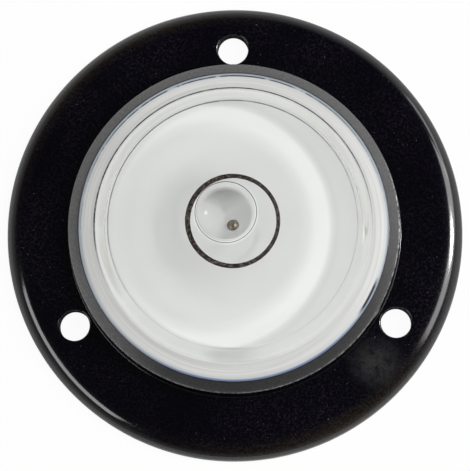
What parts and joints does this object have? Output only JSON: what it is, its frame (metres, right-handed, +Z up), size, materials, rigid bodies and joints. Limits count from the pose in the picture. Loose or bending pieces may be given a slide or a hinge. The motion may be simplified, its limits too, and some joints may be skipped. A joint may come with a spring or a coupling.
{
  "type": "bullseye level",
  "caption": "Round flange-mounted bubble level: black housing with screw holes and a raised boss, clear domed vial with a target ring, set in a white cup.",
  "frame": {"origin": "centre of the flange's underside, on the surface that the level stands on", "axes": "+Z up along the vial's axis, +Y towards one of the screw holes"},
  "size_m": [0.06, 0.06, 0.0142],
  "materials": {
    "black_paint": "gloss",
    "clear_acrylic": "clear polished",
    "white_plastic": "satin",
    "clear_spirit": "clear liquid",
    "black_ink": "matte",
    "plated_steel": "polished"
  },
  "bodies": {
    "root": {"mounting_flange": "black_paint", "vial_lens": "clear_acrylic", "target_ring": "black_ink", "vial_base": "white_plastic", "vial_spirit": "clear_spirit", "filler_ball": "plated_steel"}
  },
  "joints": []
}
